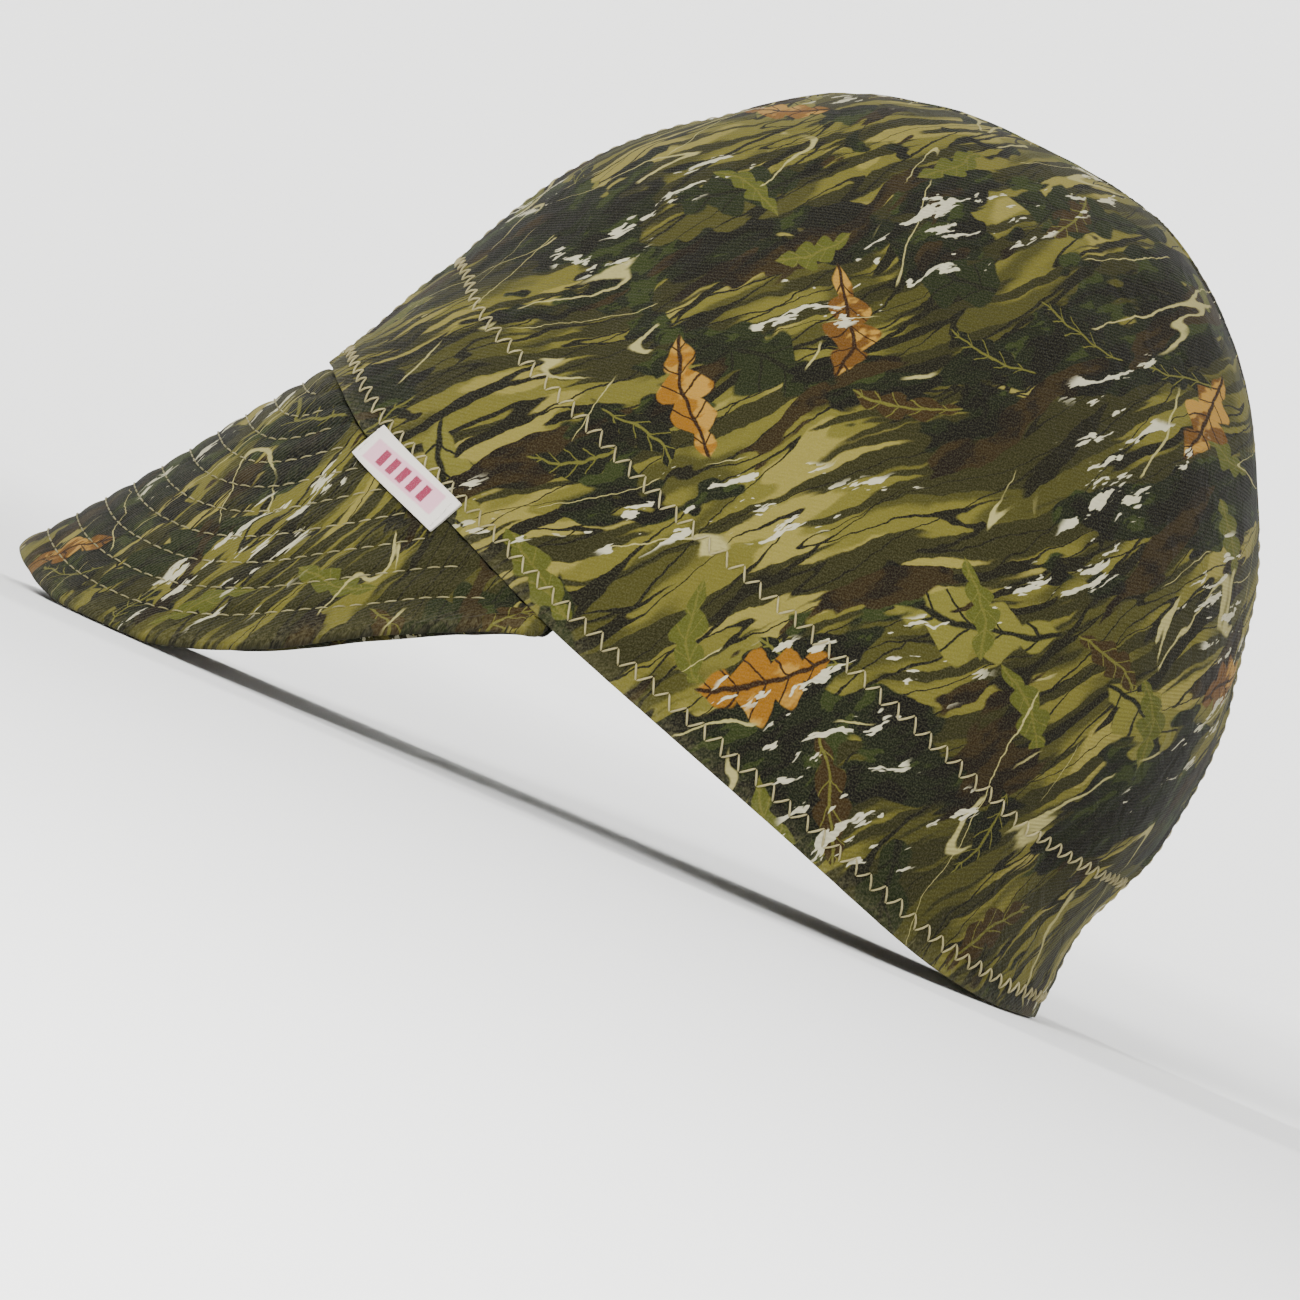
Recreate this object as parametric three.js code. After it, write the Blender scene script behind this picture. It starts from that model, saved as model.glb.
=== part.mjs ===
// Welding cap: a limp crown of two side panels, a sweatband inside its rim,
// a quilted bill and a small side label. Millimetres, +Z up.
// The wearer's front is -Y and the wearer's left is +X. The cap lies on a flat
// surface, on the lower edges of its bill and on the hem at its nape.
//
// The pieces are first drawn in the hem's own directions: x to the wearer's
// left, y back along the hem line from the temple corners, z up from that line.
// Then the whole cap is turned and set down on the surface.
import * as THREE from 'three';

// Sizes of the crown
const crownLength = 194;
const crownHalfWidth = 80;
const crownHeight = 139.8;
const crownWall = 1.4;

// Sizes of the sweatband
const bandWidth = 30;
const bandWall = 1.2;
const bandInset = 2;

// Sizes of the bill
const billReach = 105;
const billWall = 3.4;
const billCornerWidth = 4;
const billFlare = 0.8;
const billSag = 0.9;
const billEdgeBulge = 0.7;

// Sizes of the side label
const labelLength = 27;
const labelWidth = 8;
const labelWall = 0.8;
const labelStart = 28.4;

// How the pieces lie together and on the surface
const pieceGap = 0.3;
const wornSlope = THREE.MathUtils.degToRad(39.55);
const restPress = 0.8;

// Steps of the meshes
const panelColumns = 34;
const panelRows = 19;
const bandColumns = 2 * panelColumns;
const bandRows = 5;
const billColumns = 48;
const billRows = 9;
const labelColumns = 10;
const labelRows = 4;

// How finely places are searched for and slopes are measured on the surfaces
const halvings = 40;
const slopeStep = 0.01;

// The bill leaves its seam along the crown's cloth and has turned to its own
// slope at this share of its length. Its slope is read no nearer to the seam
// than the second share, and its edge points on from the third.
const billTurnShare = 0.25;
const billSlopeShare = 0.12;
const billEdgeShare = 0.9;

// Sections of the crown, from the hem line to the apex. Rise is a share of the
// crown's height, front and back are shares of its length, measured from the
// temple corners, and width is a share of its half width.
const crownSections = [
  { rise: -0.040, front: -0.371, back: 0.646, width: 0.962 },
  { rise: 0.000, front: -0.363, back: 0.638, width: 0.969 },
  { rise: 0.076, front: -0.349, back: 0.627, width: 0.979 },
  { rise: 0.157, front: -0.335, back: 0.617, width: 0.990 },
  { rise: 0.272, front: -0.322, back: 0.626, width: 1.000 },
  { rise: 0.429, front: -0.296, back: 0.613, width: 0.971 },
  { rise: 0.594, front: -0.258, back: 0.571, width: 0.889 },
  { rise: 0.748, front: -0.184, back: 0.505, width: 0.749 },
  { rise: 0.863, front: -0.105, back: 0.426, width: 0.579 },
  { rise: 0.944, front: 0.018, back: 0.340, width: 0.383 },
  { rise: 0.986, front: 0.134, back: 0.263, width: 0.199 },
  { rise: 1.000, front: 0.204, back: 0.204, width: 0.000 },
];

// The oval of each section: where it is widest, as a share of its own length
// from the front, and how square it is (2 is an ellipse).
const widestShare = 0.594;
const ovalPower = 2.15;

// The rim, from the brow to the nape. Along is a share of the crown's length
// and lift is a share of its height.
const rimCourse = [
  { along: -0.363, lift: 0.097 },
  { along: -0.330, lift: 0.078 },
  { along: -0.262, lift: 0.046 },
  { along: -0.144, lift: 0.029 },
  { along: 0.000, lift: 0.004 },
  { along: 0.155, lift: -0.006 },
  { along: 0.309, lift: -0.015 },
  { along: 0.464, lift: -0.026 },
  { along: 0.546, lift: -0.021 },
  { along: 0.638, lift: 0.000 },
];

// Slack and pull in the limp cloth. Turn is in degrees from the nape, rise is
// a share of the crown's height, and depth is a share of its half width.
const crownFolds = [
  { turn: 138, rise: 0.44, acrossTurn: 15, acrossRise: 0.17, depth: -0.024 },
  { turn: 118, rise: 0.66, acrossTurn: 13, acrossRise: 0.12, depth: 0.014 },
  { turn: 106, rise: 0.22, acrossTurn: 8, acrossRise: 0.13, depth: -0.014 },
  { turn: 84, rise: 0.47, acrossTurn: 10, acrossRise: 0.20, depth: 0.012 },
  { turn: 62, rise: 0.34, acrossTurn: 8, acrossRise: 0.14, depth: -0.015 },
  { turn: 44, rise: 0.62, acrossTurn: 13, acrossRise: 0.16, depth: 0.016 },
  { turn: 40, rise: 0.24, acrossTurn: 5, acrossRise: 0.07, depth: -0.013 },
  { turn: 28, rise: 0.28, acrossTurn: 6, acrossRise: 0.07, depth: 0.013 },
  { turn: 16, rise: 0.24, acrossTurn: 4, acrossRise: 0.06, depth: -0.011 },
];

// The lower edge of the bill as the cap is worn, from the tip to the temple
// corner. Forward and drop are shares of the bill's reach from that corner.
const billEdge = [
  { forward: 1.000, drop: -0.155 },
  { forward: 0.960, drop: -0.100 },
  { forward: 0.880, drop: -0.042 },
  { forward: 0.780, drop: 0.002 },
  { forward: 0.670, drop: 0.025 },
  { forward: 0.550, drop: 0.030 },
  { forward: 0.400, drop: 0.015 },
  { forward: 0.240, drop: 0.001 },
  { forward: 0.095, drop: -0.009 },
  { forward: 0.000, drop: -0.017 },
];
const billPower = 2.4;

const clothColour = 0x6f6b3c;
const bandColour = 0x5f5a34;
const billColour = 0x66633a;
const labelColour = 0xf1e9e6;

// Tables are read between their rows along a smooth curve.
function between(before, from, to, after, share) {
  const pull = (to - before) / 2;
  const push = (after - from) / 2;
  const rest = to - from;
  const cube = pull + push - 2 * rest;
  const square = 3 * rest - 2 * pull - push;
  return from + share * (pull + share * (square + share * cube));
}

function readRow(rows, place, beyond) {
  const last = rows.length - 1;
  const row = Math.min(Math.max(Math.floor(place), 0), last - 1);
  const from = rows[row];
  const to = rows[row + 1];
  const before = rows[row - 1] ?? from;
  const after = rows[row + 2] ?? beyond ?? to;
  const values = {};
  for (const column of Object.keys(from)) {
    values[column] = between(before[column], from[column], to[column], after[column], place - row);
  }
  return values;
}

function findPlace(rows, column, value) {
  const rising = rows[rows.length - 1][column] > rows[0][column];
  let low = 0;
  let high = rows.length - 1;
  for (let step = 0; step < halvings; step += 1) {
    const middle = (low + high) / 2;
    const below = readRow(rows, middle)[column] < value;
    if (below === rising) {
      low = middle;
    } else {
      high = middle;
    }
  }
  return (low + high) / 2;
}

function signedPower(value, power) {
  return Math.sign(value) * Math.abs(value) ** power;
}

// Past the apex the sections run down the other side, which rounds the top.
const apexPlace = crownSections.length - 1;
const lastSection = crownSections[apexPlace - 1];
const beyondApex = {
  rise: lastSection.rise,
  front: lastSection.back,
  back: lastSection.front,
  width: -lastSection.width,
};

function foldDepth(turn, rise) {
  const degrees = Math.abs(THREE.MathUtils.radToDeg(turn));
  let depth = 0;
  for (const fold of crownFolds) {
    const aside = (degrees - fold.turn) / fold.acrossTurn;
    const above = (rise - fold.rise) / fold.acrossRise;
    depth += fold.depth * Math.exp(-aside * aside - above * above);
  }
  return depth;
}

// A point of the crown's outer surface. Turn runs from 0 at the nape to PI at
// the brow, on the wearer's left where it is positive.
function sectionPoint(turn, place) {
  const section = readRow(crownSections, place, beyondApex);
  const swell = 1 + foldDepth(turn, section.rise);
  const widest = section.front + (section.back - section.front) * widestShare;
  const cosine = signedPower(Math.cos(turn), 2 / ovalPower);
  const sine = signedPower(Math.sin(turn), 2 / ovalPower);
  const half = cosine > 0 ? section.back - widest : widest - section.front;
  return new THREE.Vector3(
    sine * section.width * crownHalfWidth * swell,
    (widest + cosine * half * swell) * crownLength,
    section.rise * crownHeight,
  );
}

const hemPlace = findPlace(crownSections, 'rise', 0);

function rimPlace(turn) {
  const along = sectionPoint(turn, hemPlace).y / crownLength;
  const lift = readRow(rimCourse, findPlace(rimCourse, 'along', along)).lift;
  return findPlace(crownSections, 'rise', lift);
}

function crownNormal(turn, place) {
  if (place > apexPlace - slopeStep) {
    return new THREE.Vector3(0, 0, 1);
  }
  const around = sectionPoint(turn - slopeStep, place).sub(sectionPoint(turn + slopeStep, place));
  const upward = sectionPoint(turn, place + slopeStep).sub(sectionPoint(turn, place - slopeStep));
  return upward.cross(around).normalize().negate();
}

// Climb runs from 0 at the rim to 1 at the apex.
function crownPlace(turn, climb) {
  const rim = rimPlace(turn);
  return rim + (apexPlace - rim) * climb;
}

// The place on the crown that lies a length above the rim.
function placeAboveRim(turn, length) {
  const rim = sectionPoint(turn, rimPlace(turn)).z;
  return findPlace(crownSections, 'rise', (rim + length) / crownHeight);
}

function turnAtHem(along) {
  const hem = readRow(crownSections, hemPlace);
  const widest = (hem.front + (hem.back - hem.front) * widestShare) * crownLength;
  const share = (widest - along) / (widest - hem.front * crownLength);
  return Math.PI - Math.acos(share ** (ovalPower / 2));
}

// A closed body between an outer and an inner sheet of points, which are given
// in columns and rows. Its open edges are closed with strips.
function closedBody(columns, rows, pointAt, edges) {
  const corners = [];
  const faces = [];
  const known = new Map();

  function corner(column, row, inner) {
    const point = pointAt(column, row, inner);
    const key = point.toArray().map((value) => value.toFixed(4)).join(' ');
    if (!known.has(key)) {
      known.set(key, corners.length);
      corners.push(point);
    }
    return known.get(key);
  }

  function quad(a, b, c, d) {
    for (const face of [[a, b, c], [a, c, d]]) {
      if (new Set(face).size === 3) {
        faces.push(face);
      }
    }
  }

  for (let column = 0; column < columns; column += 1) {
    for (let row = 0; row < rows; row += 1) {
      const square = [[column, row], [column + 1, row], [column + 1, row + 1], [column, row + 1]];
      quad(...square.map(([c, r]) => corner(c, r, false)));
      quad(...square.reverse().map(([c, r]) => corner(c, r, true)));
    }
  }
  function strip(c0, r0, c1, r1) {
    quad(corner(c1, r1, false), corner(c0, r0, false), corner(c0, r0, true), corner(c1, r1, true));
  }
  for (let column = 0; column < columns; column += 1) {
    strip(column, 0, column + 1, 0);
    strip(column + 1, rows, column, rows);
  }
  if (edges === 'open') {
    for (let row = 0; row < rows; row += 1) {
      strip(0, row + 1, 0, row);
      strip(columns, row, columns, row + 1);
    }
  }
  return { corners, faces };
}

function mirrored(body) {
  return {
    corners: body.corners.map((point) => new THREE.Vector3(-point.x, point.y, point.z)),
    faces: body.faces.map(([a, b, c]) => [a, c, b]),
  };
}

// Half of the crown, from the centre seam round one side to the centre seam.
function crownPanel() {
  function pointAt(column, row, inner) {
    const turn = Math.PI * (1 - column / panelColumns);
    const place = crownPlace(turn, row / panelRows);
    const point = sectionPoint(turn, place);
    const depth = inner ? crownWall : 0;
    point.addScaledVector(crownNormal(turn, place), -depth);
    if (column === 0 || column === panelColumns || row === panelRows) {
      point.x = 0;
    }
    point.x += pieceGap / 2;
    return point;
  }
  return closedBody(panelColumns, panelRows, pointAt, 'open');
}

// A ring of cloth that backs the crown's wall above the rim.
function sweatband() {
  function pointAt(column, row, inner) {
    const turn = Math.PI * (1 - 2 * ((column % bandColumns) / bandColumns));
    const length = bandInset + bandWidth * (row / bandRows);
    const place = placeAboveRim(turn, length);
    const depth = crownWall + pieceGap + (inner ? bandWall : 0);
    return sectionPoint(turn, place).addScaledVector(crownNormal(turn, place), -depth);
  }
  return closedBody(bandColumns, bandRows, pointAt, 'ring');
}

// The bill's own directions. Across runs from -1 at the right temple corner
// to 1 at the left one, and out runs from 0 at the seam to 1 at the edge.
const cornerTurn = turnAtHem(0);
const cornerHalfWidth = sectionPoint(cornerTurn, hemPlace).x;
const edgeSweep = Math.acos((billCornerWidth / billReach) ** (billPower / 2));

function seamTurn(across) {
  return Math.PI - Math.abs(across) * (Math.PI - cornerTurn);
}

function billSeamPoint(across) {
  const turn = seamTurn(across);
  const rim = rimPlace(turn);
  const point = sectionPoint(turn, rim);
  const downward = point.clone().sub(sectionPoint(turn, rim + slopeStep)).normalize();
  point.addScaledVector(downward, pieceGap);
  return point.addScaledVector(crownNormal(turn, rim), -billWall / 2);
}

function billEdgePoint(across) {
  const sweep = Math.abs(across) * edgeSweep;
  const forward = Math.cos(sweep) ** (2 / billPower);
  const side = Math.sin(sweep) ** (2 / billPower);
  const drop = readRow(billEdge, findPlace(billEdge, 'forward', forward)).drop;
  return new THREE.Vector3(
    side * (cornerHalfWidth + billFlare),
    (-forward * Math.cos(wornSlope) + drop * Math.sin(wornSlope)) * billReach,
    (-forward * Math.sin(wornSlope) - drop * Math.cos(wornSlope)) * billReach,
  );
}

function billRuling(across, out) {
  const point = billSeamPoint(across).lerp(billEdgePoint(across), out);
  point.x *= Math.sign(across);
  return point;
}

function billNormal(across, out) {
  const near = Math.max(out, billSlopeShare);
  const side = billRuling(across + slopeStep, near).sub(billRuling(across - slopeStep, near));
  const outward = billRuling(across, near + slopeStep).sub(billRuling(across, near - slopeStep));
  const open = outward.cross(side).normalize();
  const seam = crownNormal(seamTurn(across), rimPlace(seamTurn(across)));
  seam.x *= across < 0 ? -1 : 1;
  return seam.lerp(open, Math.min(out / billTurnShare, 1)).normalize();
}

function billPoint(across, out, height) {
  const sag = billSag * 4 * out * (1 - out);
  return billRuling(across, out).addScaledVector(billNormal(across, out), height - sag);
}

// The bill: a padded sheet whose edge is rounded by one row that stands out.
function bill() {
  function pointAt(column, row, inner) {
    const across = 1 - 2 * (column / billColumns);
    if (row === billRows) {
      const outward = billRuling(across, 1).sub(billRuling(across, billEdgeShare)).normalize();
      return billPoint(across, 1, 0).addScaledVector(outward, billEdgeBulge);
    }
    const out = row / (billRows - 1);
    return billPoint(across, out, inner ? -billWall / 2 : billWall / 2);
  }
  return closedBody(billColumns, billRows, pointAt, 'open');
}

// The label lies over the seam, half on the crown and half on the bill.
function turnPast(start, length) {
  const from = sectionPoint(start, rimPlace(start));
  let low = start;
  let high = Math.PI;
  for (let step = 0; step < halvings; step += 1) {
    const middle = (low + high) / 2;
    const reached = sectionPoint(middle, rimPlace(middle)).distanceTo(from);
    if (reached < length) {
      low = middle;
    } else {
      high = middle;
    }
  }
  return low;
}

function sideLabel() {
  const rearTurn = turnAtHem(-labelStart);
  const frontTurn = turnPast(rearTurn, labelLength);
  function pointAt(column, row, inner) {
    const turn = frontTurn + (rearTurn - frontTurn) * (column / labelColumns);
    const lift = labelWidth * (row / labelRows - 0.5);
    const height = pieceGap + (inner ? 0 : labelWall);
    if (lift >= 0) {
      const place = placeAboveRim(turn, lift);
      return sectionPoint(turn, place).addScaledVector(crownNormal(turn, place), height);
    }
    const across = (Math.PI - turn) / (Math.PI - cornerTurn);
    const length = billSeamPoint(across).distanceTo(billEdgePoint(across));
    return billPoint(across, -lift / length, billWall / 2 + height);
  }
  return closedBody(labelColumns, labelRows, pointAt, 'open');
}

// Setting the cap down. It is turned about X until the bill and the nape are
// level, and the cloth that would reach below the surface is pressed flat.
function lowest(points, slope) {
  const heights = points.map((point) => point.z * Math.cos(slope) - point.y * Math.sin(slope));
  return Math.min(...heights);
}

function restSlope(billCorners, napeCorners) {
  let low = 0;
  let high = Math.PI / 3;
  for (let step = 0; step < halvings; step += 1) {
    const middle = (low + high) / 2;
    if (lowest(billCorners, middle) < lowest(napeCorners, middle)) {
      low = middle;
    } else {
      high = middle;
    }
  }
  return (low + high) / 2;
}

function setDown(bodies, billCorners, panelCorners) {
  const napeCorners = panelCorners.filter((point) => point.y > crownLength / 2);
  const slope = restSlope(billCorners, napeCorners);
  const surface = lowest(billCorners, slope) + restPress;
  const corners = bodies.flatMap((body) => body.corners);
  for (const point of corners) {
    point.applyAxisAngle(new THREE.Vector3(1, 0, 0), -slope);
    point.z = Math.max(point.z - surface, 0);
  }
  const reach = new THREE.Box3().setFromPoints(corners);
  const middle = (reach.min.y + reach.max.y) / 2;
  for (const point of corners) {
    point.y -= middle;
  }
}

function cloth(name, body, colour) {
  const geometry = new THREE.BufferGeometry().setFromPoints(body.corners);
  geometry.setIndex(body.faces.flat());
  geometry.computeVertexNormals();
  const material = new THREE.MeshStandardMaterial({ color: colour, roughness: 0.95, metalness: 0 });
  const mesh = new THREE.Mesh(geometry, material);
  mesh.name = name;
  return mesh;
}

const leftPanel = crownPanel();
const rightPanel = mirrored(crownPanel());
const bandBody = sweatband();
const billBody = bill();
const labelBody = sideLabel();
setDown([leftPanel, rightPanel, bandBody, billBody, labelBody], billBody.corners, leftPanel.corners);

const weldingCap = new THREE.Group();
weldingCap.name = 'welding_cap';
weldingCap.add(
  cloth('crown_panel_left', leftPanel, clothColour),
  cloth('crown_panel_right', rightPanel, clothColour),
  cloth('sweatband', bandBody, bandColour),
  cloth('bill', billBody, billColour),
  cloth('side_label', labelBody, labelColour),
);

export default weldingCap;
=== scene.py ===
# %% [markdown]
# # A camouflage welding cap
# This notebook dresses a finished frame: five plain solids that already have
# the true size and place of a soft cotton cap. Each solid is copied, made
# finer, given its seams, quilting and slack, and covered with printed cloth.
# Everything is in metres. The cap lies on a surface at z = 0, its bill
# points to -Y and the wearer's left side faces +X.

# %% Load the frame
import math

import bmesh
import bpy
from mathutils import Matrix, Vector, noise
from mathutils.bvhtree import BVHTree
from mathutils.geometry import convex_hull_2d
from mathutils.kdtree import KDTree


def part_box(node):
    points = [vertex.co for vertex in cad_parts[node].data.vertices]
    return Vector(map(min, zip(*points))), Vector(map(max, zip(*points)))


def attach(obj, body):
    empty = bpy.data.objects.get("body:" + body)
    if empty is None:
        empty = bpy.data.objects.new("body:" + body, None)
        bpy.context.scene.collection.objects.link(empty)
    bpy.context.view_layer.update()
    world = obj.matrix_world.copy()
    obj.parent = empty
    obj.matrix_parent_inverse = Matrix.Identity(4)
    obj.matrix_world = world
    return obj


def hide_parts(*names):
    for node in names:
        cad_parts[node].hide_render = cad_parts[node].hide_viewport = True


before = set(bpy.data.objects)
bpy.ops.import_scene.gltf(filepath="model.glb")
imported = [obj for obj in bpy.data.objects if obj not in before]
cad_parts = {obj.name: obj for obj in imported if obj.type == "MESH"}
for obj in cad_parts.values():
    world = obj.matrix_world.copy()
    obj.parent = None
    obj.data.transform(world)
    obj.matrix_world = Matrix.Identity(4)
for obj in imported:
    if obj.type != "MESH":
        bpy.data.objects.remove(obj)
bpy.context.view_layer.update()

MM = 0.001
print("frame pieces:", sorted(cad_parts))

# %% [markdown]
# ## The camera
# The photograph shows the wearer's left side from straight beside it, with
# the hem sloping down to the nape. The cap on its surface is turned forward
# from that, so the camera rolls by the same angle. A long lens from far away
# keeps the outline as flat as it is in the photograph. The camera comes first
# because everything is judged through it.

# %% Camera beside the cap
CAMERA_ROLL = math.radians(23.24)
CAMERA_DISTANCE = 1.6
FRAME_WIDTH = 0.260
SENSOR_WIDTH = 36.0
AIM = Vector((0.0, 0.0067, 0.0371))

camera_data = bpy.data.cameras.new("camera")
camera_data.sensor_width = SENSOR_WIDTH
camera_data.lens = SENSOR_WIDTH * CAMERA_DISTANCE / FRAME_WIDTH
camera = bpy.data.objects.new("camera", camera_data)
bpy.context.scene.collection.objects.link(camera)
picture_right = Vector((0.0, math.cos(CAMERA_ROLL), math.sin(CAMERA_ROLL)))
picture_up = Vector((0.0, -math.sin(CAMERA_ROLL), math.cos(CAMERA_ROLL)))
turn = Matrix((picture_right, picture_up, Vector((1.0, 0.0, 0.0)))).transposed()
camera.matrix_world = Matrix.Translation(AIM + Vector((CAMERA_DISTANCE, 0, 0))) @ turn.to_4x4()
bpy.context.scene.camera = camera
print("lens", round(camera_data.lens), "mm")

# %% [markdown]
# ## The cap's own directions
# A sewer measures a cap from its hem: along the hem, up from it, and round
# the head. The hem line slopes 16 degrees to the surface, so these directions
# are named once and used by every seam below.

# %% Directions along the hem, up from it and round the head
HEM_SLOPE = math.radians(16.3)
ALONG = Vector((0.0, math.cos(HEM_SLOPE), -math.sin(HEM_SLOPE)))
UP = Vector((0.0, math.sin(HEM_SLOPE), math.cos(HEM_SLOPE)))
NAPE_INSET = 12 * MM
HEAD_HALF_LENGTH = 94 * MM
FAR = 250 * MM
crown_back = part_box("crown_panel_left")[1].y
nape = Vector((0.0, crown_back - NAPE_INSET, 0.0))
HEAD_CENTRE = nape - ALONG * HEAD_HALF_LENGTH


def outward_at(angle):
    """Level with the hem: 0 points back to the nape, 90 degrees to the left ear."""
    return ALONG * math.cos(angle) + Vector((math.sin(angle), 0.0, 0.0))


print("head centre", [round(x, 3) for x in HEAD_CENTRE])

# %% [markdown]
# ## From plain solid to fine cloth
# A copy of a solid arrives as loose triangles. Its points are merged and its
# triangles joined back to squares, because Subdivision Surface rounds squares
# well and triangles badly. The cut edges of the cloth are creased first, so
# that they stay crisp while the wall between them becomes smooth.

# %% Copy, merge, crease and subdivide
MERGE = 0.02 * MM
JOIN_ANGLE = math.radians(60)
SMOOTH_ANGLE = math.radians(45)


def select_only(piece):
    if bpy.context.mode != "OBJECT":
        bpy.ops.object.mode_set(mode="OBJECT")
    bpy.ops.object.select_all(action="DESELECT")
    piece.select_set(True)
    bpy.context.view_layer.objects.active = piece


def fine_copy(node, name, levels, crease=0.8, sharpness=50):
    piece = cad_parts[node].copy()
    piece.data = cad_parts[node].data.copy()
    piece.parent = None
    for key in list(piece.keys()):
        del piece[key]
    piece.name = name
    piece.data.name = name
    bpy.context.scene.collection.objects.link(piece)
    select_only(piece)
    bpy.ops.mesh.customdata_custom_splitnormals_clear()
    bpy.ops.object.mode_set(mode="EDIT")
    bpy.ops.mesh.select_all(action="SELECT")
    bpy.ops.mesh.remove_doubles(threshold=MERGE)
    bpy.ops.mesh.tris_convert_to_quads(face_threshold=JOIN_ANGLE, shape_threshold=JOIN_ANGLE)
    bpy.ops.mesh.select_all(action="DESELECT")
    bpy.ops.mesh.select_mode(type="EDGE")
    bpy.ops.mesh.edges_select_sharp(sharpness=math.radians(sharpness))
    bpy.ops.transform.edge_crease(value=crease)
    bpy.ops.object.mode_set(mode="OBJECT")
    finer = piece.modifiers.new("finer", "SUBSURF")
    finer.levels = levels
    finer.render_levels = levels
    bpy.ops.object.modifier_apply(modifier="finer")
    bpy.ops.object.shade_smooth_by_angle(angle=SMOOTH_ANGLE)
    print(name, len(piece.data.polygons), "faces")
    return piece


left_panel = fine_copy("crown_panel_left", "crown_cloth_left", 2)
right_panel = fine_copy("crown_panel_right", "crown_cloth_right", 2)
sweatband = fine_copy("sweatband", "sweatband_cloth", 2)
bill = fine_copy("bill", "bill_cloth", 3, crease=0.3, sharpness=60)
label = fine_copy("side_label", "label_tape", 3)

# %% [markdown]
# ## Finding the rim
# The stitch rows follow the rim, so its course is measured on the cloth. From
# each side a ray looks inwards at the foot of the crown and climbs in small
# steps until it meets cloth. The same ray, higher up, later finds the places
# of the stitches.

# %% Look inwards from beside the cap
ROUND_STEPS = 360
CLIMB_STEP = 0.5 * MM
LOWEST = -12 * MM
HIGHEST = 30 * MM
RAY_STOP = 20 * MM       # rays end this far from the middle, before the other side


def tree_of(*pieces):
    mesh = bmesh.new()
    for piece in pieces:
        mesh.from_mesh(piece.data)
    tree = BVHTree.FromBMesh(mesh)
    mesh.free()
    return tree


def look_in(tree, angle, height):
    outward = outward_at(angle)
    start = HEAD_CENTRE + UP * height + outward * FAR
    point, normal, _, _ = tree.ray_cast(start, -outward, FAR - RAY_STOP)
    return (point, normal) if point else None


def rim_height(tree, angle):
    height = LOWEST
    while height < HIGHEST and look_in(tree, angle, height) is None:
        height += CLIMB_STEP
    return height


crown_tree = tree_of(left_panel, right_panel)
HALF_STEP = 0.5          # keeps the rays off the open centre seam
angles = [math.tau * (step + HALF_STEP) / ROUND_STEPS for step in range(ROUND_STEPS)]
rim_heights = [rim_height(crown_tree, angle) for angle in angles]


def rim_at(angle):
    """The rim's height at any angle, between the two measured ones beside it."""
    place = (angle % math.tau) / math.tau * ROUND_STEPS - HALF_STEP
    low = math.floor(place)
    share = place - low
    return rim_heights[low % ROUND_STEPS] * (1 - share) + rim_heights[(low + 1) % ROUND_STEPS] * share


print("rim lift at the brow", round(rim_heights[ROUND_STEPS // 2] / MM, 1), "mm")

# %% [markdown]
# ## The edge of the bill
# Seen from above, the bill's edge is the outermost line of its points, so a
# convex hull of the solid's plan finds it. The points are then spaced evenly,
# which makes it easy to measure how far any point of the bill is from its edge.

# %% Even points along a line
def evenly(points, spacing):
    lengths = [0.0]
    for before, after in zip(points, points[1:]):
        lengths.append(lengths[-1] + (after - before).length)
    count = max(2, round(lengths[-1] / spacing))
    even = []
    segment = 0
    for step in range(count + 1):
        wanted = lengths[-1] * step / count
        while segment < len(points) - 2 and lengths[segment + 1] < wanted:
            segment += 1
        span = max(lengths[segment + 1] - lengths[segment], 1e-9)
        even.append(points[segment].lerp(points[segment + 1], (wanted - lengths[segment]) / span))
    return even


bill_low, bill_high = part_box("bill")
bill_points = [vertex.co.copy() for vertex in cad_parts["bill"].data.vertices]
hull = convex_hull_2d([point.xy for point in bill_points])
BILL_ROOT = 4 * MM       # the strip beside the crown has no free edge
edge_points = [bill_points[index] for index in hull if bill_points[index].y < bill_high.y - BILL_ROOT]
edge_points.sort(key=lambda point: math.atan2(point.x, bill_high.y - point.y))
bill_edge = evenly(edge_points, 1 * MM)
edge_places = KDTree(len(bill_edge))
for index, point in enumerate(bill_edge):
    edge_places.insert(point, index)
edge_places.balance()
print("bill edge", len(bill_edge), "mm long")

# %% [markdown]
# ## Slack, seams and stitched rows in the cloth
# Limp cotton never lies like a shell. A soft noise gives it slack, and every
# seam presses its own relief into it: the turned hem is a little thicker, the
# band's upper stitch row draws the cloth in, small puckers fan out from each
# row, and the centre seam lies on a ridge. The points move straight out from
# the middle of the dome, so the outer and inner face of the wall stay together.

# %% Relief of the crown
HEM_ROW = 4.5 * MM
BAND_ROW = 32 * MM
HEM_FOLD = 9 * MM
SEAM_FOLD = 5 * MM
SEAM_ROW = 3 * MM
SEAM_GAP = 0.2 * MM
SLACK = 2.2 * MM
SMALL_SLACK = 0.9 * MM
SLACK_FREE = 25 * MM     # nearer the rim the sweatband holds the cloth
PUCKER = 0.55 * MM
HEM_THICKNESS = 0.35 * MM
RIDGE = 0.55 * MM
DOME_CENTRE = HEAD_CENTRE + UP * (35 * MM)


def bell(distance, width):
    """1 at no distance, and fading to nothing within about two widths."""
    return math.exp(-(distance / width) ** 2)


def ripple(point, grain, depth, shift=(0, 0, 0)):
    """Soft noise in and out of the cloth. The grain says how many waves fit in a metre."""
    return noise.noise(point * grain + Vector(shift)) * depth


def above_rim(point):
    side = point - HEAD_CENTRE
    return side.dot(UP) - rim_at(math.atan2(side.x, side.dot(ALONG)))


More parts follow.
